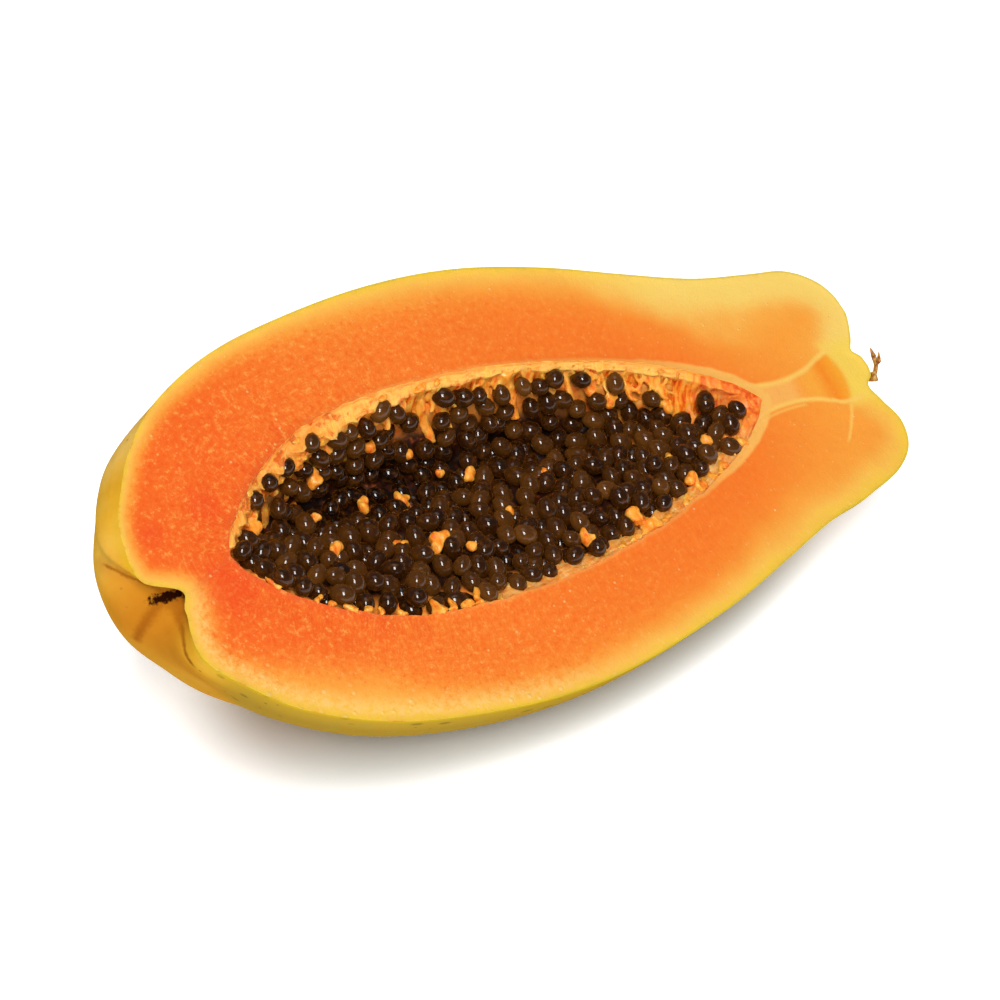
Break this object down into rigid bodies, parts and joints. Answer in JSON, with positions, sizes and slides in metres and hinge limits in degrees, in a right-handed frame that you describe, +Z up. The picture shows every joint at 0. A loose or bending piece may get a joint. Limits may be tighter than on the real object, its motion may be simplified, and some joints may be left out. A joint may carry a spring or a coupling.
{
  "type": "papaya half",
  "caption": "Ripe papaya half cut lengthwise, lying on its rind with the cut face leaning over, its cavity lined with dark glossy seeds and a dried stalk at the narrow end.",
  "frame": {"origin": "centre of the bounding box footprint, on the surface the fruit lies on", "axes": "+X from the blossom end to the stem end along the fruit, +Y toward the raised edge of the cut face, +Z up"},
  "size_m": [0.2732, 0.1278, 0.1067],
  "materials": {
    "flesh": "moist ripe flesh, orange in the middle and pale yellow toward the rind",
    "rind": "smooth waxy yellow rind with green tinge and small specks",
    "placenta": "wet pale orange fibres on the cavity wall",
    "seed": "dark brown seed under a clear wet skin",
    "stalk": "dried brown fibre"
  },
  "bodies": {
    "root": {"fruit_half": "flesh", "seed_heap": "seed", "stem_remnant": "stalk"}
  },
  "joints": []
}
